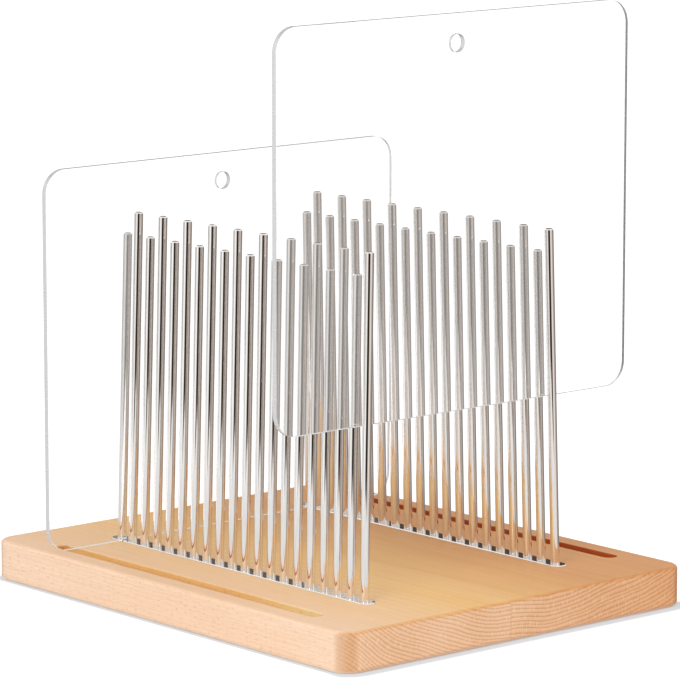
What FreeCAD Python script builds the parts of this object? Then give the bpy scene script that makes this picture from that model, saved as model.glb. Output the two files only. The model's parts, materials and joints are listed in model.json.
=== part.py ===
import FreeCAD, Part
import math
import os
from FreeCAD import Vector

# Bread slicer guide. Millimetres, +Z up.
# X runs across the two rod rows, Y along them (front is -Y).
# The origin is the centre of the board's underside.

# ---- Board -------------------------------------------------------------
board_width = 225.0
board_length = 276.0
board_thickness = 20.5
board_corner_radius = 11.0
board_top_edge_radius = 2.0
board_bottom_edge_radius = 2.5

# ---- Rods: two rows, short and tall in turn, short first at the back ------
# The rows lean in towards each other a little, so they steady the loaf. Along a row the rods also
# lean towards its middle, none in the middle and the most at its ends, where a tall rod's tip takes
# up row_fan_play_share of the play that a panel has between two rods.
rods_per_row = 20
rod_pitch = 10.0
rod_diameter = 4.5
tall_rod_height = 169.5
short_rod_height = 158.0
rod_lean_degrees = 1.5
row_fan_play_share = 0.71
rod_tip_chamfer = 0.5
row_spacing_at_board = 126.0

# ---- Steel strips that carry the rods --------------------------------------
strip_side_margin = 2.25
strip_end_margin = 6.0
strip_thickness = 6.0
strip_proud = 0.6
strip_edge_chamfer = 0.4
strip_slot_clearance = 0.1
rod_hole_clearance = 0.05

# ---- Clear panels -------------------------------------------------------
panel_width = 228.0
panel_height = 194.0
panel_thickness = 3.0
panel_corner_radius = 12.0
hang_hole_diameter = 9.0
hang_hole_drop = 14.5
panel_rod_clearance = 0.3
back_panel_gap = 1
front_panel_gap = rods_per_row - 1
front_panel_raise = 84.5

# ---- Storage grooves: each is wide enough for both panels --------------------
groove_inset = 15.0
groove_depth = 8.0
groove_side_clearance = 1.0
groove_end_clearance = 5.0
groove_mouth_chamfer = 0.5

# ---- Screws that hold each strip from below ----------------------------------
screw_gaps = (3, rods_per_row - 3)
screw_shank_diameter = 3.0
screw_head_diameter = 5.5
screw_head_height = 3.0
screw_head_recess = 1.0
screw_socket_across_flats = 2.5
screw_socket_depth = 1.6
screw_hole_clearance = 0.25
counterbore_clearance = 0.75
thread_engagement = 4.5
thread_tip_clearance = 0.5
thread_clearance = 0.05

# ---- Worked out from the sizes above -----------------------------------------
rod_radius = rod_diameter / 2
panel_free_play = rod_pitch - rod_diameter - panel_thickness
row_fan_degrees = math.degrees(math.atan(row_fan_play_share * panel_free_play / tall_rod_height))
rod_tilt = math.radians(math.hypot(rod_lean_degrees, row_fan_degrees))
slot_depth = strip_thickness - strip_proud
rod_seat_depth = (slot_depth - rod_radius * math.sin(rod_tilt)) / math.cos(rod_tilt)
row_x = row_spacing_at_board / 2
row_length = (rods_per_row - 1) * rod_pitch
back_rod_y = row_length / 2
strip_width = rod_diameter + 2 * strip_side_margin
strip_length = row_length + 2 * strip_end_margin
strip_bottom_z = board_thickness - slot_depth
strip_top_z = board_thickness + strip_proud
groove_x = board_width / 2 - groove_inset
groove_width = 2 * (panel_thickness + groove_side_clearance)
groove_length = panel_height + 2 * groove_end_clearance
screw_head_top_z = screw_head_recess + screw_head_height
screw_tip_z = strip_bottom_z + thread_engagement

sides = {"left": -1, "right": 1}
up = Vector(0, 0, 1)
same_place = 1e-3


def rod_y(index):
    """Place of a rod along the row, counted from 1 at the back."""
    return back_rod_y - (index - 1) * rod_pitch


def gap_y(index):
    """Middle of the gap between a rod and the next one towards the front."""
    return rod_y(index) - rod_pitch / 2


def cylinder(radius, bottom_z, top_z, x, y):
    """Upright cylinder between two heights."""
    return Part.makeCylinder(radius, top_z - bottom_z, Vector(x, y, bottom_z), up)


def leaned(shape, side, y):
    """The shape of an upright rod, or of its hole, tipped about the board's top towards the loaf."""
    foot = Vector(sides[side] * row_x, y, board_thickness)
    shape.rotate(foot, Vector(0, 1, 0), -sides[side] * rod_lean_degrees)
    shape.rotate(foot, Vector(1, 0, 0), row_fan_degrees * y / back_rod_y)
    return shape


def rounded_block(width, length, height, radius):
    """Plate on the XY plane, centred, with round upright corners."""
    block = Part.makeBox(width, length, height, Vector(-width / 2, -length / 2, 0))
    upright = [edge for edge in block.Edges if edge.BoundBox.ZLength > height / 2]
    return block.makeFillet(radius, upright)


def round_ended_bar(width, length, bottom_z, height, x):
    """Bar along Y with half-round ends, as an end mill leaves its slot."""
    radius = width / 2
    straight = length / 2 - radius
    corners = [Vector(x - radius, -straight, bottom_z), Vector(x + radius, -straight, bottom_z),
               Vector(x + radius, straight, bottom_z), Vector(x - radius, straight, bottom_z)]
    front = Part.Arc(corners[0], Vector(x, -length / 2, bottom_z), corners[1])
    back = Part.Arc(corners[2], Vector(x, length / 2, bottom_z), corners[3])
    outline = Part.Wire([front.toShape(), Part.makeLine(corners[1], corners[2]),
                         back.toShape(), Part.makeLine(corners[3], corners[0])])
    return Part.Face(outline).extrude(Vector(0, 0, height))


def edges_at(shape, z):
    """Edges that lie wholly at one height."""
    return [edge for edge in shape.Edges
            if abs(edge.BoundBox.ZMin - z) < same_place and abs(edge.BoundBox.ZMax - z) < same_place]


def mouth_edges(board, x):
    """Edges round the open top of the storage groove at x."""
    return [edge for edge in edges_at(board, board_thickness)
            if abs(edge.BoundBox.Center.x - x) < groove_width / 2 + same_place]


def screw_hole_cutters(x):
    """Clearance holes under a strip, each with a counterbore for the screw's head."""
    hole_radius = screw_shank_diameter / 2 + screw_hole_clearance
    bore_radius = screw_head_diameter / 2 + counterbore_clearance
    cutters = []
    for y in map(gap_y, screw_gaps):
        cutters.append(cylinder(hole_radius, screw_head_top_z, strip_bottom_z, x, y))
        cutters.append(cylinder(bore_radius, 0, screw_head_top_z, x, y))
    return cutters


def base_board():
    """Solid board: round edges, two strip slots, two storage grooves, screw holes."""
    board = rounded_block(board_width, board_length, board_thickness, board_corner_radius)
    board = board.makeFillet(board_top_edge_radius, edges_at(board, board_thickness))
    board = board.makeFillet(board_bottom_edge_radius, edges_at(board, 0))
    for side in sides.values():
        groove = round_ended_bar(groove_width, groove_length,
                                 board_thickness - groove_depth, groove_depth, side * groove_x)
        board = board.cut(groove)
        board = board.makeChamfer(groove_mouth_chamfer, mouth_edges(board, side * groove_x))
        slot = round_ended_bar(strip_width + 2 * strip_slot_clearance,
                               strip_length + 2 * strip_slot_clearance,
                               strip_bottom_z, slot_depth, side * row_x)
        board = board.cut([slot] + screw_hole_cutters(side * row_x))
    return board


def strip(side):
    """Round-ended strip, a little proud of the board, holed for the rods and tapped for the screws."""
    x = sides[side] * row_x
    bar = round_ended_bar(strip_width, strip_length, strip_bottom_z, strip_thickness, x)
    bar = bar.makeChamfer(strip_edge_chamfer, edges_at(bar, strip_top_z))
    hole_radius = rod_radius + rod_hole_clearance
    thread_radius = screw_shank_diameter / 2 + thread_clearance
    cutters = [leaned(cylinder(hole_radius, 0, 2 * board_thickness, x, rod_y(i)), side, rod_y(i))
               for i in range(1, rods_per_row + 1)]
    cutters += [cylinder(thread_radius, strip_bottom_z, screw_tip_z + thread_tip_clearance, x, y)
                for y in map(gap_y, screw_gaps)]
    return bar.cut(cutters)


def rod(side, index):
    """Leaning rod through the strip to the slot's floor, the rim of its tip broken."""
    height = tall_rod_height if index % 2 == 0 else short_rod_height
    top_z = board_thickness + height
    y = rod_y(index)
    shape = cylinder(rod_radius, board_thickness - rod_seat_depth, top_z, sides[side] * row_x, y)
    return leaned(shape.makeChamfer(rod_tip_chamfer, edges_at(shape, top_z)), side, y)


def panel_y(gap):
    """A panel is looser than its gap and leans on the rods nearer the middle."""
    towards_middle = -math.copysign(panel_free_play / 2 - panel_rod_clearance, gap_y(gap))
    return gap_y(gap) + towards_middle


def panel(gap, raised):
    """Clear panel across both rows in one gap, raised above the strips that it seats on."""
    plate = rounded_block(panel_width, panel_height, panel_thickness, panel_corner_radius)
    hole = cylinder(hang_hole_diameter / 2, 0, panel_thickness,
                    0, panel_height / 2 - hang_hole_drop)
    plate = plate.cut(hole)
    plate.rotate(Vector(0, 0, 0), Vector(1, 0, 0), 90)
    plate.translate(Vector(0, panel_y(gap) + panel_thickness / 2,
                           strip_top_z + raised + panel_height / 2))
    return plate


def hex_prism(across_flats, bottom_z, height, x, y):
    """Six-sided prism for a socket key."""
    radius = across_flats / math.sqrt(3)
    corners = [Vector(x + radius * math.cos(math.radians(60 * i)),
                      y + radius * math.sin(math.radians(60 * i)), bottom_z) for i in range(6)]
    return Part.Face(Part.makePolygon(corners + corners[:1])).extrude(Vector(0, 0, height))


def strip_screws(side):
    """Socket-head screws, heads sunk below the board's underside."""
    x = sides[side] * row_x
    screws = []
    for y in map(gap_y, screw_gaps):
        head = cylinder(screw_head_diameter / 2, screw_head_recess, screw_head_top_z, x, y)
        shank = cylinder(screw_shank_diameter / 2, screw_head_top_z, screw_tip_z, x, y)
        socket = hex_prism(screw_socket_across_flats, screw_head_recess, screw_socket_depth, x, y)
        screws.append(head.fuse(shank).removeSplitter().cut(socket))
    return Part.makeCompound(screws)


def all_nodes():
    """Every piece by name."""
    nodes = {"base_board": base_board(),
             "front_panel": panel(front_panel_gap, front_panel_raise),
             "back_panel": panel(back_panel_gap, 0)}
    for side in sides:
        nodes[f"{side}_strip"] = strip(side)
        nodes[f"{side}_strip_screws"] = strip_screws(side)
        for i in range(1, rods_per_row + 1):
            nodes[f"{side}_rod_{i:02d}"] = rod(side, i)
    return nodes


os.makedirs("parts", exist_ok=True)
for name, shape in all_nodes().items():
    shape.exportStep(f"parts/{name}.step")
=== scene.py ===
"""Looks of a bread slicer guide: a beech board with two combs of polished rods and two clear panels.

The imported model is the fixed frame. Every CAD piece stays as it is and gets its finish here. Units are
metres, the board's underside is z = 0 and its front edge is towards -Y. A pair of numbers whose name
ends in EDGES says where a soft step begins and where it is complete.
"""
import json
import math

import bpy
from mathutils import Matrix, Vector

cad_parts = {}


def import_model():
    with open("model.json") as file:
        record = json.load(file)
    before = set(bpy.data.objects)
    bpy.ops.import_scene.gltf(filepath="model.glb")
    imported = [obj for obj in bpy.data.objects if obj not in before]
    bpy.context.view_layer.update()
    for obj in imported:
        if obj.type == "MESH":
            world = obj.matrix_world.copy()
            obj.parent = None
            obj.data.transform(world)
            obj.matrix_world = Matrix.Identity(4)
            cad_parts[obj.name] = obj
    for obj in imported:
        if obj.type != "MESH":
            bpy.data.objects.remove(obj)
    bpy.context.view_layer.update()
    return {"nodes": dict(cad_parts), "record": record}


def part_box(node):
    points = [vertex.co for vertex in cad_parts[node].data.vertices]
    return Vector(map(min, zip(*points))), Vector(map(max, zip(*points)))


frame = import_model()

MM = 0.001
WHITE = (1.0, 1.0, 1.0, 1.0)
X_AXIS, Y_AXIS, Z_AXIS = range(3)

# ---------------------------------------------------------------------------------------------- sizes
board_low, board_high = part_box("base_board")
BOARD_TOP = board_high.z
BOARD_CORNER = 11.0 * MM
PANEL_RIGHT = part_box("front_panel")[1].x
# Each panel's foot lies below this height in the frame, and each panel's top lies above it.
FEET_BELOW = (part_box("front_panel")[0].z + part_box("back_panel")[1].z) / 2


# ---------------------------------------------------------------------------------------------- helpers
def srgb(red, green, blue):
    """A colour written in display values from 0 to 255, as the linear colour that shaders take."""
    def linear(value):
        value /= 255.0
        return value / 12.92 if value <= 0.04045 else ((value + 0.055) / 1.055) ** 2.4
    return (linear(red), linear(green), linear(blue), 1.0)


def tint(red, green, blue):
    """A linear colour, or what a colour is multiplied by."""
    return (red, green, blue, 1.0)


def grey(value):
    return tint(value, value, value)


class Graph:
    """Adds and links the nodes of one shader tree. A number or a socket may stand for any input."""

    def __init__(self, tree):
        self.tree = tree

    def add(self, kind, **settings):
        node = self.tree.nodes.new(kind)
        for name, value in settings.items():
            setattr(node, name, value)
        return node

    def feed(self, socket, value):
        if isinstance(value, bpy.types.NodeSocket):
            self.tree.links.new(value, socket)
        else:
            socket.default_value = value

    def math(self, operation, *values):
        node = self.add("ShaderNodeMath", operation=operation)
        for socket, value in zip(node.inputs, values):
            self.feed(socket, value)
        return node.outputs[0]

    def plus(self, first, second):
        return self.math("ADD", first, second)

    def minus(self, first, second):
        return self.math("SUBTRACT", first, second)

    def times(self, first, second):
        return self.math("MULTIPLY", first, second)

    def most(self, first, second):
        return self.math("MAXIMUM", first, second)

    def unsigned(self, value):
        return self.math("ABSOLUTE", value)

    def above(self, value, limit):
        """1 where the value is greater than the limit, and 0 elsewhere."""
        return self.math("GREATER_THAN", value, limit)

    def below(self, value, limit):
        """1 where the value is less than the limit, and 0 elsewhere."""
        return self.math("LESS_THAN", value, limit)

    def length(self, first, second):
        """The length of a vector with these two parts."""
        return self.math("SQRT", self.plus(self.times(first, first), self.times(second, second)))

    def varied(self, base, pattern, amount):
        """The base, moved up and down by a pattern whose middle is a half."""
        return self.plus(base, self.times(self.minus(pattern, 0.5), amount))

    def smooth(self, value, low, high, to_low=0.0, to_high=1.0):
        node = self.add("ShaderNodeMapRange", interpolation_type="SMOOTHSTEP")
        for name, given in (("Value", value), ("From Min", low), ("From Max", high),
                            ("To Min", to_low), ("To Max", to_high)):
            self.feed(node.inputs[name], given)
        return node.outputs[0]

    def fading(self, value, low, high):
        """1 up to low, and 0 from high on."""
        return self.smooth(value, low, high, 1.0, 0.0)

    def place(self):
        """The piece's own coordinates, which are those of the frame at rest, in metres."""
        return self.add("ShaderNodeTexCoord").outputs["Object"]

    def normal(self):
        return self.split(self.add("ShaderNodeNewGeometry").outputs["Normal"])

    def split(self, vector):
        node = self.add("ShaderNodeSeparateXYZ")
        self.feed(node.inputs[0], vector)
        return node.outputs

    def join(self, x, y, z):
        node = self.add("ShaderNodeCombineXYZ")
        for socket, value in zip(node.inputs, (x, y, z)):
            self.feed(socket, value)
        return node.outputs[0]

    def vector(self, operation, first, second):
        node = self.add("ShaderNodeVectorMath", operation=operation)
        self.feed(node.inputs[0], first)
        self.feed(node.inputs[1], second)
        return node.outputs[0]

    def drawn_out(self, vector, axis, share):
        """The vector with one axis shortened to a share, so that a pattern runs long along it."""
        shares = [1.0, 1.0, 1.0]
        shares[axis] = share
        return self.vector("MULTIPLY", vector, shares)

    def noise(self, vector, scale=1.0, detail=2.0, roughness=0.5):
        node = self.add("ShaderNodeTexNoise")
        self.feed(node.inputs["Vector"], vector)
        node.inputs["Scale"].default_value = scale
        node.inputs["Detail"].default_value = detail
        node.inputs["Roughness"].default_value = roughness
        return node.outputs["Fac"]

    def grain(self, place, share, scale, detail):
        """Noise that runs long along Y."""
        return self.noise(self.drawn_out(place, Y_AXIS, share), scale, detail)

    def ramp(self, value, stops):
        node = self.add("ShaderNodeValToRGB")
        elements = node.color_ramp.elements
        while len(elements) < len(stops):
            elements.new(0.5)
        for element, (position, colour) in zip(elements, stops):
            element.position = position
            element.color = colour
        self.feed(node.inputs[0], value)
        return node.outputs[0]

    def mix_node(self, data_type, socket_type, share, first, second, **settings):
        node = self.add("ShaderNodeMix", data_type=data_type, **settings)
        self.feed(node.inputs["Factor"], share)
        ends = [socket for socket in node.inputs if socket.type == socket_type and socket.name in "AB"]
        self.feed(ends[0], first)
        self.feed(ends[1], second)
        return next(socket for socket in node.outputs if socket.type == socket_type)

    def blend(self, share, first, second):
        """Numbers mixed: first where share is 0 and second where it is 1."""
        return self.mix_node("FLOAT", "VALUE", share, first, second)

    def mix(self, share, first, second):
        """Colours mixed: first where share is 0 and second where it is 1."""
        return self.mix_node("RGBA", "RGBA", share, first, second)

    def laid_over(self, colour, pattern, share, layer):
        """The colour with the layer's colour over it, where the pattern is and by the share given."""
        return self.mix(self.times(pattern, share), colour, layer)

    def tinted(self, colour, by):
        """The colour multiplied by a tint."""
        return self.mix_node("RGBA", "RGBA", 1.0, colour, by, blend_type="MULTIPLY")

    def tinted_where(self, colour, share, by):
        """The colour multiplied by a tint where share is 1, and left alone where it is 0."""
        return self.tinted(colour, self.mix(share, WHITE, by))

    def bump(self, height, strength, distance):
        node = self.add("ShaderNodeBump")
        node.inputs["Strength"].default_value = strength
        node.inputs["Distance"].default_value = distance
        self.feed(node.inputs["Height"], height)
        return node.outputs[0]

    def diffuse(self, colour):
        node = self.add("ShaderNodeBsdfDiffuse")
        node.inputs["Color"].default_value = colour
        return node.outputs[0]

    def clear(self, colour=WHITE):
        node = self.add("ShaderNodeBsdfTransparent")
        node.inputs["Color"].default_value = colour
        return node.outputs[0]

    def either(self, share, first, second):
        """Shaders mixed: first where share is 0 and second where it is 1."""
        node = self.add("ShaderNodeMixShader")
        for socket, value in zip(node.inputs, (share, first, second)):
            self.feed(socket, value)
        return node.outputs[0]


def empty_graph(owner):
    """The shader tree of a new material or world, with nothing in it."""
    owner.use_nodes = True
    owner.node_tree.nodes.clear()
    return Graph(owner.node_tree)


def new_material(name):
    """A material with one shader, its graph, the shader, and the output's socket for the surface."""
    material = bpy.data.materials.new(name)
    graph = empty_graph(material)
    surface = graph.add("ShaderNodeOutputMaterial").inputs["Surface"]
    shader = graph.add("ShaderNodeBsdfPrincipled")
    graph.feed(surface, shader.outputs[0])
    return material, graph, shader, surface


# ---------------------------------------------------------------------------------------------- beech
GLUE_LINE_X = -7.0 * MM
GLUE_LINE_EDGES = (0.1 * MM, 0.35 * MM)

# A stave: where the axis of its rings is across the board and up, their spacing, and a seed.
LEFT_STAVE = (4.0 * MM, BOARD_TOP + 135.0 * MM, 1.8 * MM, 3.1)
RIGHT_STAVE = (22.0 * MM, BOARD_TOP + 230.0 * MM, 2.0 * MM, 7.7)

# The rings wander widely and wobble finely, and some years grow faster than others. ALONG is the share
# of the way along the board that a pattern goes by, so that it runs long there.
RING_WANDER = 16.0 * MM
WANDER_SCALE = 11.0
WANDER_DETAIL = 2.0
WANDER_ALONG = 0.16
RING_WOBBLE = 1.1 * MM
WOBBLE_SCALE = 90.0
WOBBLE_DETAIL = 1.0
WOBBLE_ALONG = 0.08
RING_PACE = 1.3
PACE_SCALE = 160.0
PACE_DETAIL = 1.0
# Across one ring: its dark late wood grows slowly and ends sharply.
RING_PROFILE = [(0.0, grey(0.0)), (0.52, grey(0.08)), (0.86, grey(0.9)), (0.93, WHITE), (1.0, grey(0.0))]

# How far the surface has turned to face the board's ends, its sides or up.
END_EDGES = (0.45, 0.85)
SIDE_EDGES = (0.5, 0.9)
TOP_EDGES = (0.5, 0.95)

# Patterns along the wood: share of the way along the board, scale and detail.
CLOUDS = (0.25, 26.0, 3.0)
FIBRES = (0.035, 900.0, 2.0)
FLECKS = (0.14, 2000.0, 0.0)
PORES = (0.03, 1700.0, 1.0)
CLOUD_EDGES = (0.3, 0.7)
FIBRE_EDGES = (0.45, 0.7)
FLECK_EDGES = (0.60, 0.72)
PORE_EDGES = (0.55, 0.75)
# Rays run out from the rings' axis, and are seen on the ends.
RAYS_PER_RADIAN = 300.0
RAYS_PER_METRE = 260.0
RAY_DETAIL = 1.0
RAY_EDGES = (0.54, 0.70)
DARK_RAY_EDGES = (0.30, 0.46)

# Shares by which the patterns show. Where there is a pair, its second number is for the ends.
LINE_SHARE = 0.22
END_LINE_SHARE = 0.38
END_LINE_CLOUDING = 0.55
FIBRE_SHARES = (0.16, 0.0)
PORE_SHARES = (0.05, 0.30)
GLUE_SHARES = (0.12, 0.35)
TOP_FLECK_SHARE = 0.12
SIDE_FLECK_SHARE = 0.34
RAY_SHARE = 0.45
DARK_RAY_SHARE = 0.12

# The clouds vary the wood between two colours.
SIDE_COLOURS = (srgb(247, 216, 189), srgb(243, 208, 177))
END_COLOURS = (srgb(247, 205, 168), srgb(241, 195, 154))
# The rings' dark lines on the sides and top, and on the ends.
LINE_COLOURS = (srgb(228, 180, 136), srgb(200, 138, 90))
FIBRE_COLOUR = srgb(222, 176, 134)
FLECK_COLOUR = srgb(212, 158, 118)
RAY_COLOUR = srgb(253, 224, 192)
DARK_RAY_COLOUR = srgb(206, 148, 102)
PORE_COLOUR = srgb(196, 138, 94)
GLUE_COLOUR = srgb(200, 148, 104)

# Tints across the board from left to right, on its top and on its ends. They are partly the staves' own
# tone and partly painted light and shade: a warm painted bounce light on the top's middle, and painted
# shade that darkens the top and the ends towards the right.
TOP_TONE_AND_PAINTED_LIGHT = [(0.0, tint(0.98, 0.93, 0.87)), (0.38, tint(1.0, 0.86, 0.48)),
             (0.75, tint(0.79, 0.55, 0.30)), (1.0, tint(0.77, 0.53, 0.30))]
END_TONE_AND_PAINTED_SHADE = [(0.0, WHITE), (0.5, tint(0.98, 0.96, 0.94)), (1.0, tint(0.93, 0.76, 0.60))]

# The board's rounded corners and rims, found by their normal: the corners and the rims of the ends by the
# product of two parts of it, and the lower rim by its downward part. Painted shade darkens the corners and
# the rims of the ends, and painted light brightens the lower rim.
CORNER_EDGES = (0.12, 0.45)
CORNER_PAINTED_SHADE = tint(0.79, 0.69, 0.59)
END_RIM_EDGES = (0.10, 0.40)
END_RIM_PAINTED_SHADE = tint(0.90, 0.78, 0.62)
LOWER_RIM_FOOT_EDGES = (-0.99, -0.90)
LOWER_RIM_SIDE_EDGES = (-0.75, -0.15)
# Painted light on the lower rim, which lifts it out of the shade under the board.
LOWER_RIM_LIGHT_SHARE = 0.55
LOWER_RIM_PAINTED_LIGHT = srgb(255, 236, 214)

# Space that holds the storage grooves with their broken edges, and nothing of the board's underside.
GROOVE_X = 97.5 * MM
GROOVE_HALF_WIDTH = 4.6 * MM
GROOVE_HALF_LENGTH = 103.0 * MM
GROOVE_LOWEST = 0.25 * BOARD_TOP
GROOVE_MOUTH_EDGES = (BOARD_TOP - 0.3 * MM, BOARD_TOP - 0.05 * MM)
# Painted shade in the grooves, deeper and more orange than the wood above them.
GROOVE_PAINTED_SHADE = tint(0.86, 0.66, 0.46)
# The walls that face -X. The left groove's wall gets painted light and shade, which change along it from
# its front end on, and the right groove's wall a dark painted shadow.
LEFT_WALL_PAINTED_LIGHT_AND_SHADE = (tint(1.04, 1.20, 0.84), tint(0.98, 0.91, 0.52))
LEFT_WALL_EDGES = (-GROOVE_HALF_LENGTH, -0.25 * GROOVE_HALF_LENGTH)
RIGHT_WALL_PAINTED_SHADOW = tint(0.52, 0.145, 0.03)
FACES_LEFT_EDGES = (-0.8, -0.3)

# Roughness on the sides and top, and on the ends. The clouds vary it.
BEECH_ROUGHNESSES = (0.50, 0.62)
BEECH_ROUGHNESS_SPREAD = 0.18
BEECH_IOR = 1.45
BEECH_SPECULAR = 0.35
PORE_DEPTH = 0.5
LINE_DEPTH = 0.35
FLECK_DEPTH = 0.4
BEECH_BUMP_STRENGTH = 0.3
BEECH_BUMP_DISTANCE = 0.1 * MM


def growth_rings(graph, x, y, z, centre_x, centre_z, spacing, seed):
    """Rings about an axis along Y at (centre_x, centre_z). Returns how near to a ring's dark line a point
    is, from 0 to 1, the distance from the axis and the angle about it."""
    across = graph.minus(x, centre_x)
    up = graph.minus(z, centre_z)
    radius = graph.length(across, up)
    angle = graph.math("ARCTAN2", across, up)
    seeded_x = graph.plus(x, seed)
    wander_place = graph.join(seeded_x, graph.times(y, WANDER_ALONG), z)
    wander = graph.noise(wander_place, WANDER_SCALE, WANDER_DETAIL)
    wobble_place = graph.join(seeded_x, graph.times(y, WOBBLE_ALONG), z)
    wobble = graph.noise(wobble_place, WOBBLE_SCALE, WOBBLE_DETAIL)
    shifted = graph.varied(radius, wander, RING_WANDER)
    shifted = graph.varied(shifted, wobble, RING_WOBBLE)
    pace = graph.noise(graph.join(shifted, seed, 0.0), PACE_SCALE, PACE_DETAIL)
    count = graph.plus(graph.math("DIVIDE", shifted, spacing), graph.times(pace, RING_PACE))
    return graph.ramp(graph.math("FRACT", count), RING_PROFILE), radius, angle


def storage_grooves(graph, x, y, z, normal_x):
    """Where the storage grooves are, from 0 to 1, and the painted light and shade on their walls and
    floors.
    """
    from_middle = graph.unsigned(graph.minus(graph.unsigned(x), GROOVE_X))
    inside = graph.times(graph.below(from_middle, GROOVE_HALF_WIDTH),
                         graph.below(graph.unsigned(y), GROOVE_HALF_LENGTH))
    inside = graph.times(inside, graph.fading(z, *GROOVE_MOUTH_EDGES))
    inside = graph.times(inside, graph.above(z, GROOVE_LOWEST))
    left_wall = graph.mix(graph.smooth(y, *LEFT_WALL_EDGES), *LEFT_WALL_PAINTED_LIGHT_AND_SHADE)
    wall = graph.mix(graph.above(x, 0.0), left_wall, RIGHT_WALL_PAINTED_SHADOW)
    faces_left = graph.fading(normal_x, *FACES_LEFT_EDGES)
    return inside, graph.mix(faces_left, GROOVE_PAINTED_SHADE, wall)


def beech():
    """Oiled beech, glued from two staves whose growth rings curve about different hearts."""
    material, graph, shader, _ = new_material("beech_oiled")
    place = graph.place()
    x, y, z = graph.split(place)
    normal_x, normal_y, normal_z = graph.normal()
    sideways = graph.unsigned(normal_x)
    endways = graph.unsigned(normal_y)
    on_end = graph.smooth(endways, *END_EDGES)
    on_side = graph.smooth(sideways, *SIDE_EDGES)
    on_top = graph.smooth(normal_z, *TOP_EDGES)

    right_stave = graph.above(x, GLUE_LINE_X)
    left = growth_rings(graph, x, y, z, *LEFT_STAVE)
    right = growth_rings(graph, x, y, z, *RIGHT_STAVE)
    line, radius, angle = [graph.blend(right_stave, *pair) for pair in zip(left, right)]
    clouds = graph.grain(place, *CLOUDS)
    fibres = graph.grain(place, *FIBRES)
    flecks = graph.smooth(graph.grain(place, *FLECKS), *FLECK_EDGES)
    pores = graph.grain(place, *PORES)
    ray_place = graph.join(graph.times(angle, RAYS_PER_RADIAN), graph.times(radius, RAYS_PER_METRE), 0.0)
    rays = graph.noise(ray_place, detail=RAY_DETAIL)
    dark_rays = graph.fading(rays, *DARK_RAY_EDGES)
    pale_rays = graph.smooth(rays, *RAY_EDGES)

    clouding = graph.smooth(clouds, *CLOUD_EDGES)
    end_line_share = graph.plus(END_LINE_SHARE, graph.times(clouds, END_LINE_CLOUDING))
    line_share = graph.blend(on_end, LINE_SHARE, end_line_share)
    fleck_share = graph.times(graph.blend(on_side, TOP_FLECK_SHARE, SIDE_FLECK_SHARE),
                              graph.minus(1.0, on_end))
    fibre_share = graph.blend(on_end, *FIBRE_SHARES)
    pore_share = graph.blend(on_end, *PORE_SHARES)
    colour = graph.mix(on_end, graph.mix(clouding, *SIDE_COLOURS), graph.mix(clouding, *END_COLOURS))
    colour = graph.laid_over(colour, line, line_share, graph.mix(on_end, *LINE_COLOURS))
    colour = graph.laid_over(colour, graph.smooth(fibres, *FIBRE_EDGES), fibre_share, FIBRE_COLOUR)
    colour = graph.laid_over(colour, flecks, fleck_share, FLECK_COLOUR)
    colour = graph.laid_over(colour, pale_rays, graph.times(on_end, RAY_SHARE), RAY_COLOUR)
    colour = graph.laid_over(colour, dark_rays, graph.times(on_end, DARK_RAY_SHARE), DARK_RAY_COLOUR)
    colour = graph.laid_over(colour, graph.smooth(pores, *PORE_EDGES), pore_share, PORE_COLOUR)

    across = graph.plus(0.5, graph.math("DIVIDE", x, board_high.x - board_low.x))
    # Painted light and shade across the board, on its ends and its top, partly the staves' own tone.
    ends_tone_and_shade = graph.mix(on_end, WHITE, graph.ramp(across, END_TONE_AND_PAINTED_SHADE))
    colour = graph.tinted(colour, graph.mix(on_top, ends_tone_and_shade, graph.ramp(across, TOP_TONE_AND_PAINTED_LIGHT)))
    # Painted shade on the rounded corners and on the rims of the ends.
    at_corner = graph.smooth(graph.times(sideways, endways), *CORNER_EDGES)
    colour = graph.tinted_where(colour, at_corner, CORNER_PAINTED_SHADE)
    at_end_rim = graph.smooth(graph.times(graph.unsigned(normal_z), endways), *END_RIM_EDGES)
    colour = graph.tinted_where(colour, at_end_rim, END_RIM_PAINTED_SHADE)
    # Painted light on the lower rim.
    at_lower_rim = graph.times(graph.fading(normal_z, *LOWER_RIM_SIDE_EDGES),
                               graph.smooth(normal_z, *LOWER_RIM_FOOT_EDGES))
    colour = graph.laid_over(colour, at_lower_rim, LOWER_RIM_LIGHT_SHARE, LOWER_RIM_PAINTED_LIGHT)

    # Painted light and shade in the storage grooves.
    share, groove_painted_light_and_shade = storage_grooves(graph, x, y, z, normal_x)
    colour = graph.tinted_where(colour, share, groove_painted_light_and_shade)
    glue = graph.fading(graph.unsigned(graph.minus(x, GLUE_LINE_X)), *GLUE_LINE_EDGES)
    colour = graph.laid_over(colour, glue, graph.blend(on_end, *GLUE_SHARES), GLUE_COLOUR)
    graph.feed(shader.inputs["Base Color"], colour)

    roughness = graph.varied(graph.blend(on_end, *BEECH_ROUGHNESSES), clouds, BEECH_ROUGHNESS_SPREAD)
    graph.feed(shader.inputs["Roughness"], roughness)
    shader.inputs["IOR"].default_value = BEECH_IOR
    shader.inputs["Specular IOR Level"].default_value = BEECH_SPECULAR
    height = graph.minus(graph.times(pores, -PORE_DEPTH), graph.times(line, LINE_DEPTH))
    height = graph.minus(height, graph.times(flecks, FLECK_DEPTH))
    graph.feed(shader.inputs["Normal"], graph.bump(height, BEECH_BUMP_STRENGTH, BEECH_BUMP_DISTANCE))
    return material


# ---------------------------------------------------------------------------------------------- steel
# Streaks run along the way the metal was drawn. FINENESS is the roughness of their noise.
STREAK_ALONG = 0.006
STREAK_DETAIL = 2.0
STREAK_FINENESS = 0.6
STREAK_EDGES = (0.35, 0.7)
STREAK_SHADE = 0.88
STREAK_ROUGHNESS = 0.10
STREAK_BUMP_STRENGTH = 0.12
STREAK_BUMP_DISTANCE = 0.04 * MM
STEEL_HAZE_SCALE = 45.0
STEEL_HAZE_ROUGHNESS = 0.06


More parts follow.
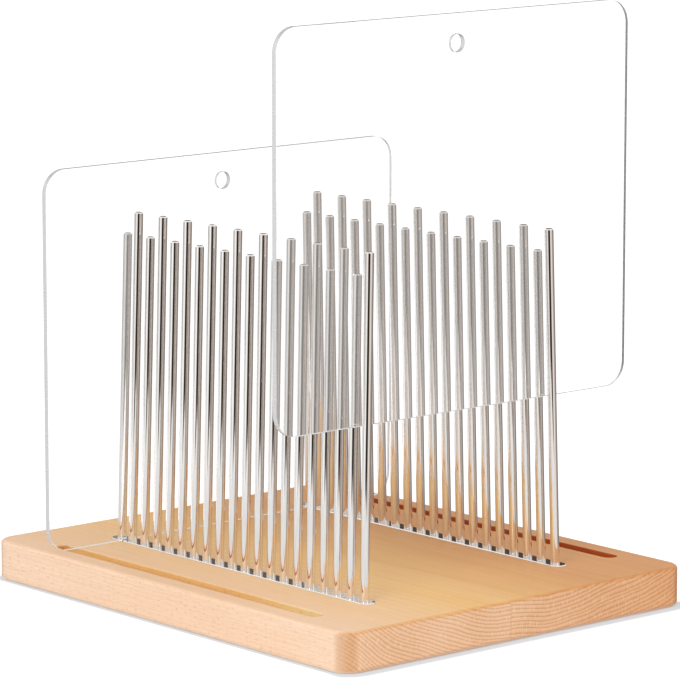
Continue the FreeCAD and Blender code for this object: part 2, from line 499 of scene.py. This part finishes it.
def steel(name, colour, roughness, streak_scale, drawn_axis, seed):
    """Drawn and polished stainless steel, with fine streaks along the way it was drawn."""
    material, graph, shader, _ = new_material(name)
    place = graph.place()
    moved = graph.vector("ADD", graph.drawn_out(place, drawn_axis, STREAK_ALONG), (seed, seed, seed))
    streaks = graph.noise(moved, streak_scale, STREAK_DETAIL, STREAK_FINENESS)
    haze = graph.noise(place, STEEL_HAZE_SCALE)
    shaded = tint(*[STREAK_SHADE * value for value in colour[:3]])
    graph.feed(shader.inputs["Base Color"], graph.mix(graph.smooth(streaks, *STREAK_EDGES), colour, shaded))
    shader.inputs["Metallic"].default_value = 1.0
    rough = graph.varied(roughness, streaks, STREAK_ROUGHNESS)
    rough = graph.varied(rough, haze, STEEL_HAZE_ROUGHNESS)
    graph.feed(shader.inputs["Roughness"], rough)
    graph.feed(shader.inputs["Normal"], graph.bump(streaks, STREAK_BUMP_STRENGTH, STREAK_BUMP_DISTANCE))
    return material


# ---------------------------------------------------------------------------------------------- acrylic
# The rims' greys, by where a rim is on the panel and which panel it is. The milky grey is the sawn rims'
# own; how much darker or lighter one rim is than another is painted shade and painted light.
RIM_EDGES = (0.25, 0.9)
LEVEL_RIM_EDGES = (0.4, 0.8)
RIGHT_RIM_EDGES = (0.9 * PANEL_RIGHT, PANEL_RIGHT)
RAISED_FOOT_EDGES = (0.35 * FEET_BELOW, 0.5 * FEET_BELOW)
LEFT_RIM = srgb(216, 216, 217)
FRONT_RIGHT_RIM_PAINTED_SHADE = srgb(112, 112, 114)
BACK_RIGHT_RIM = srgb(234, 234, 235)
TOP_RIM_PAINTED_SHADE = srgb(190, 190, 192)
SEATED_FOOT_RIM_PAINTED_LIGHT = srgb(252, 252, 251)
RAISED_FOOT_RIM = srgb(226, 226, 227)
# Saw marks across the rims, with their share of the way along Y, scale and detail.
SAW_MARK_COLOUR = srgb(190, 190, 192)
SAW_MARK_SHARE = 0.25
SAW_MARKS = (0.1, 900.0, 2.0)
# Haze and scuffs make the faces a little rougher.
ACRYLIC_HAZE_SCALE = 22.0
ACRYLIC_HAZE_DETAIL = 3.0
ACRYLIC_HAZE_EDGES = (0.5, 0.8)
ACRYLIC_HAZE_ROUGHNESS = 0.012
SCUFF_ALONG = 0.05
SCUFF_SCALE = 420.0
SCUFF_DETAIL = 1.0
SCUFF_EDGES = (0.68, 0.78)
SCUFF_ROUGHNESS = 0.02
FACE_ROUGHNESS = 0.004
RIM_ROUGHNESS = 0.20
SAW_MARK_ROUGHNESS = 0.12
FACE_CLEARNESS = 1.0
RIM_CLEARNESS = 0.12
ACRYLIC_IOR = 1.49
ACRYLIC_SPECULAR = 0.3
LIGHT_THAT_PASSES = grey(0.97)
RIM_ROUNDING = 0.3 * MM
RIM_SEGMENTS = 2
RIM_ANGLE = math.radians(50)
WELD_DISTANCE = 1e-6


def acrylic():
    """Clear cast acrylic: glossy faces with faint scuffs, and rims that are milky from the saw. The rims'
    greys differ by side, as in the photograph, and these differences are painted shade and painted light.
    Lamps' light goes straight through."""
    material, graph, shader, surface = new_material("acrylic_clear")
    place = graph.place()
    x, y, z = graph.split(place)
    _, normal_y, normal_z = graph.normal()
    on_rim = graph.fading(graph.unsigned(normal_y), *RIM_EDGES)
    haze = graph.noise(place, ACRYLIC_HAZE_SCALE, ACRYLIC_HAZE_DETAIL)
    scuffs = graph.noise(graph.drawn_out(place, Z_AXIS, SCUFF_ALONG), SCUFF_SCALE, SCUFF_DETAIL)
    saw_marks = graph.grain(place, *SAW_MARKS)

    face_rough = graph.plus(FACE_ROUGHNESS, graph.times(graph.smooth(haze, *ACRYLIC_HAZE_EDGES),
                                                        ACRYLIC_HAZE_ROUGHNESS))
    face_rough = graph.plus(face_rough, graph.times(graph.smooth(scuffs, *SCUFF_EDGES), SCUFF_ROUGHNESS))
    rim_rough = graph.plus(RIM_ROUGHNESS, graph.times(saw_marks, SAW_MARK_ROUGHNESS))
    graph.feed(shader.inputs["Roughness"], graph.blend(on_rim, face_rough, rim_rough))

    # Painted shade and light on the rims' milky grey, by side and by panel.
    right_rim = graph.mix(graph.above(y, 0.0), FRONT_RIGHT_RIM_PAINTED_SHADE, BACK_RIGHT_RIM)
    rim = graph.mix(graph.smooth(x, *RIGHT_RIM_EDGES), LEFT_RIM, right_rim)
    rim = graph.laid_over(rim, saw_marks, SAW_MARK_SHARE, SAW_MARK_COLOUR)
    foot_rim = graph.mix(graph.smooth(z, *RAISED_FOOT_EDGES), SEATED_FOOT_RIM_PAINTED_LIGHT, RAISED_FOOT_RIM)
    level_rim = graph.mix(graph.above(z, FEET_BELOW), foot_rim, TOP_RIM_PAINTED_SHADE)
    rim = graph.mix(graph.smooth(graph.unsigned(normal_z), *LEVEL_RIM_EDGES), rim, level_rim)
    graph.feed(shader.inputs["Base Color"], graph.mix(on_rim, WHITE, rim))
    graph.feed(shader.inputs["Transmission Weight"], graph.blend(on_rim, FACE_CLEARNESS, RIM_CLEARNESS))
    shader.inputs["IOR"].default_value = ACRYLIC_IOR
    shader.inputs["Specular IOR Level"].default_value = ACRYLIC_SPECULAR

    path = graph.add("ShaderNodeLightPath").outputs
    to_a_lamp = graph.most(path["Is Shadow Ray"], path["Is Diffuse Ray"])
    graph.feed(surface, graph.either(to_a_lamp, shader.outputs[0], graph.clear(LIGHT_THAT_PASSES)))
    return material


def soften_rims(name):
    """Rounds the sharp rims of a panel a little, as flame polishing leaves them."""
    piece = frame["nodes"][name]
    weld = piece.modifiers.new("weld", "WELD")
    weld.merge_threshold = WELD_DISTANCE
    bevel = piece.modifiers.new("rims", "BEVEL")
    bevel.width = RIM_ROUNDING
    bevel.segments = RIM_SEGMENTS
    bevel.limit_method = "ANGLE"
    bevel.angle_limit = RIM_ANGLE


# ---------------------------------------------------------------------------------------------- nodes
# By the record's material slot: name, colour, roughness, scale of the streaks, drawn axis and seed.
STEELS = {
    "stainless_rod": ("steel_rod_polished", srgb(249, 246, 243), 0.04, 2600.0, Z_AXIS, 0.0),
    "stainless_strip": ("steel_strip_polished", srgb(247, 245, 242), 0.07, 1800.0, Y_AXIS, 0.4),
    "screw_steel": ("steel_screw_satin", srgb(196, 195, 194), 0.28, 1500.0, X_AXIS, 0.9),
}


def finish_nodes():
    """Gives every CAD node its finish, by the record's material slot."""
    finishes = {"beech": beech()}
    for slot, settings in STEELS.items():
        finishes[slot] = steel(*settings)
    finishes["clear_acrylic"] = acrylic()
    slots = {part["node"]: part["material_slot"] for part in frame["record"]["subparts"]}
    for name, piece in frame["nodes"].items():
        piece.data.materials.clear()
        piece.data.materials.append(finishes[slots[name]])
        for polygon in piece.data.polygons:
            polygon.material_index = 0


# ---------------------------------------------------------------------------------------------- studio
FLOOR_SIZE = 14.0
FLOOR_ALBEDO = grey(0.82)
FLOOR_GLOW = 0.86
FLOOR_SHADE = tint(0.97 * 0.42, 0.97 * 0.42, 0.42)

# The thin painted contact shadow round the board's foot: where it begins to fade and where it has gone. The
# second number of a pair is along the board's front, where more of it shows.
CONTACT_SHADE = 0.43
CONTACT_SHADOW_TINT = tint(0.92, 1.0, 1.05)
CONTACT_FADES_FROM = (0.5 * MM, 3.0 * MM)
CONTACT_FADES_TO = (3.5 * MM, 8.0 * MM)

# What mirrors see of the floor is a mat under the object. Beyond it they see the world.
MAT_LEFT = -0.44
MAT_FRONT = -0.45
MAT_RIGHT = 0.05
MAT_FADE = 0.05

# A ray's count of reflections is above these when it was mirrored at least once, or at least twice.
ONCE = 0.5
TWICE = 1.5
FACES_PER_PANEL = 2

AMBIENT = 0.95
ROOM_DARK = tint(0.08, 0.06, 0.05)
# What mirrors see of the room from the horizon down, by bearing in degrees from +X towards +Y.
ROOM = [
    (6, tint(0.14, 0.13, 0.12)), (20, tint(0.20, 0.19, 0.18)), (40, grey(0.85)), (62, grey(0.85)),
    (74, tint(0.27, 0.26, 0.25)), (113, tint(0.34, 0.33, 0.32)), (132, tint(0.50, 0.49, 0.47)),
    (146, tint(0.66, 0.65, 0.64)), (158, WHITE), (193, WHITE), (206, tint(0.12, 0.10, 0.09)),
    (213, tint(0.025, 0.020, 0.016)), (242, tint(0.022, 0.017, 0.013)), (252, tint(0.24, 0.20, 0.18)),
    (264, tint(0.92, 0.84, 0.78)), (282, tint(0.88, 0.80, 0.74)), (294, tint(0.72, 0.64, 0.58)),
    (311, tint(0.42, 0.365, 0.335)), (345, tint(0.22, 0.195, 0.18)),
]
# The same from the horizon up to the ceiling: white with one dark gap, which the strips show.
BACKDROP = [(0, WHITE), (42, WHITE), (44, ROOM_DARK), (56, ROOM_DARK), (58, WHITE)]
# Heights in the room are the upward part of a direction of length 1.
BACKDROP_EDGES = (0.0, 0.06)
CEILING_EDGES = (0.30, 0.42)
VEIL_COLOUR = tint(0.56, 0.55, 0.545)
SEEN_THROUGH_VEIL = 0.64
SECOND_MIRROR_TINT = tint(0.74, 0.69, 0.65)

LAMP_TARGET = Vector((0, 0, 0.05))
KEY_PLACE = Vector((-1.75, -0.75, 1.15))
KEY_SIZE = 1.2
KEY_POWER = 18.0
FILL_PLACE = Vector((0.6, -1.6, 1.0))
FILL_SIZE = 1.4
FILL_POWER = 3.0


def from_board(graph, x, y):
    """How far a point of the floor lies outside the board's round-cornered outline."""
    across = graph.minus(graph.unsigned(x), board_high.x - BOARD_CORNER)
    along = graph.minus(graph.unsigned(y), board_high.y - BOARD_CORNER)
    from_corner = graph.length(graph.most(across, 0.0), graph.most(along, 0.0))
    return graph.minus(from_corner, BOARD_CORNER)


def floor():
    """White floor that keeps the object's shadow, and a painted contact shadow: a thin dark line round the
    board's foot, set by the distance from the board's outline. Mirrors see only a mat of it round the
    object, and see no floor in what another mirror shows."""
    bpy.ops.mesh.primitive_plane_add(size=FLOOR_SIZE, location=(0, 0, 0))
    piece = bpy.context.object
    piece.name = "studio_floor"
    material = bpy.data.materials.new("floor_white")
    graph = empty_graph(material)
    surface = graph.add("ShaderNodeOutputMaterial").inputs["Surface"]
    path = graph.add("ShaderNodeLightPath").outputs
    x, y, _ = graph.split(graph.place())

    # The painted contact shadow, by distance from the board's outline.
    in_front = graph.fading(y, board_low.y, board_low.y + BOARD_CORNER)
    clear_of_board = graph.smooth(from_board(graph, x, y), graph.blend(in_front, *CONTACT_FADES_FROM),
                                  graph.blend(in_front, *CONTACT_FADES_TO))
    glow = graph.add("ShaderNodeEmission")
    openness = graph.blend(clear_of_board, CONTACT_SHADE, 1.0)
    graph.feed(glow.inputs["Strength"], graph.times(openness, FLOOR_GLOW))
    graph.feed(glow.inputs["Color"], graph.mix(clear_of_board, CONTACT_SHADOW_TINT, WHITE))
    seen = graph.add("ShaderNodeAddShader")
    graph.feed(seen.inputs[0], graph.diffuse(FLOOR_SHADE))
    graph.feed(seen.inputs[1], glow.outputs[0])
    shown = graph.most(path["Is Camera Ray"], path["Is Transmission Ray"])
    floor_shader = graph.either(shown, graph.diffuse(FLOOR_ALBEDO), seen.outputs[0])

    off_mat = graph.fading(x, MAT_LEFT - MAT_FADE, MAT_LEFT + MAT_FADE)
    off_mat = graph.most(off_mat, graph.fading(y, MAT_FRONT - MAT_FADE, MAT_FRONT + MAT_FADE))
    off_mat = graph.most(off_mat, graph.smooth(x, MAT_RIGHT - MAT_FADE, MAT_RIGHT + MAT_FADE))
    off_mat = graph.most(off_mat, graph.above(path["Glossy Depth"], TWICE))
    open_to_mirrors = graph.times(graph.above(path["Glossy Depth"], ONCE), off_mat)
    graph.feed(surface, graph.either(open_to_mirrors, floor_shader, graph.clear()))
    piece.data.materials.append(material)


def by_bearing(stops):
    """Stops of a ramp that goes once round the room."""
    return [(degrees / 360, colour) for degrees, colour in stops]


def world():
    """White for the camera and through the panels. What mirrors see is a white room with dark gaps between
    its screens, fixed to the room and not to the camera. A mirror behind a panel shows it veiled, and a
    second mirror shows it darker."""
    made = bpy.data.worlds.new("studio")
    bpy.context.scene.world = made
    graph = empty_graph(made)
    surface = graph.add("ShaderNodeOutputWorld").inputs["Surface"]
    path = graph.add("ShaderNodeLightPath").outputs
    x, y, z = graph.split(graph.add("ShaderNodeTexCoord").outputs["Generated"])
    bearing = graph.math("DIVIDE", graph.math("ARCTAN2", y, x), math.tau)
    bearing = graph.math("FRACT", graph.plus(bearing, 1.0))

    room = graph.ramp(bearing, by_bearing(ROOM))
    backdrop = graph.ramp(bearing, by_bearing(BACKDROP))
    room = graph.mix(graph.smooth(z, *BACKDROP_EDGES), room, backdrop)
    room = graph.mix(graph.smooth(z, *CEILING_EDGES), room, WHITE)
    veiled = graph.mix(SEEN_THROUGH_VEIL, VEIL_COLOUR, room)
    room = graph.tinted_where(room, graph.above(path["Glossy Depth"], TWICE), SECOND_MIRROR_TINT)

    mirrored = graph.add("ShaderNodeBackground")
    plain = graph.add("ShaderNodeBackground")
    plain.inputs["Strength"].default_value = AMBIENT
    white = graph.add("ShaderNodeBackground")
    through_panel = path["Is Transmission Ray"]
    faces_in_front = graph.blend(through_panel, 0.5 * FACES_PER_PANEL, 1.5 * FACES_PER_PANEL)
    behind_panel = graph.above(path["Transmission Depth"], faces_in_front)
    graph.feed(mirrored.inputs["Color"], graph.mix(behind_panel, room, veiled))
    was_mirrored = graph.above(path["Glossy Depth"], ONCE)
    seen_through = graph.either(was_mirrored, white.outputs[0], mirrored.outputs[0])
    reflected = graph.either(path["Is Glossy Ray"], plain.outputs[0], mirrored.outputs[0])
    indirect = graph.either(through_panel, reflected, seen_through)
    graph.feed(surface, graph.either(path["Is Camera Ray"], indirect, white.outputs[0]))


def lamp(name, place, size, power):
    """Round soft lamp that points at the object."""
    data = bpy.data.lights.new(name, "AREA")
    data.shape = "DISK"
    data.size = size
    data.energy = power
    piece = bpy.data.objects.new(name, data)
    bpy.context.scene.collection.objects.link(piece)
    piece.location = place
    piece.rotation_euler = (LAMP_TARGET - place).to_track_quat("-Z", "Y").to_euler()


# ---------------------------------------------------------------------------------------------- camera
CAMERA_PLACE = Vector((-1.4087, -1.6355, 0.5007))
CAMERA_YAW = math.radians(40.808)
CAMERA_PITCH = math.radians(9.763)
CAMERA_REACH = 50.0
FOCAL_PIXELS = 4371.6
IMAGE_WIDTH = 680
SENSOR_WIDTH_MM = 36.0


def camera():
    """The photograph's camera, level, with its yaw from +Y towards +X and its pitch downwards."""
    data = bpy.data.cameras.new("camera")
    data.sensor_fit = "HORIZONTAL"
    data.sensor_width = SENSOR_WIDTH_MM
    data.lens = FOCAL_PIXELS * SENSOR_WIDTH_MM / IMAGE_WIDTH
    data.clip_end = CAMERA_REACH
    piece = bpy.data.objects.new("camera", data)
    bpy.context.scene.collection.objects.link(piece)
    level = math.cos(CAMERA_PITCH)
    ahead = Vector((math.sin(CAMERA_YAW) * level, math.cos(CAMERA_YAW) * level, -math.sin(CAMERA_PITCH)))
    right = Vector((math.cos(CAMERA_YAW), -math.sin(CAMERA_YAW), 0.0))
    up = right.cross(ahead)
    turned = Matrix((right, up, -ahead)).transposed()
    piece.matrix_world = Matrix.Translation(CAMERA_PLACE) @ turned.to_4x4()
    bpy.context.scene.camera = piece


finish_nodes()
soften_rims("front_panel")
soften_rims("back_panel")
floor()
world()
lamp("key_screen", KEY_PLACE, KEY_SIZE, KEY_POWER)
lamp("fill_screen", FILL_PLACE, FILL_SIZE, FILL_POWER)
camera()
bpy.context.scene.view_settings.view_transform = "Standard"
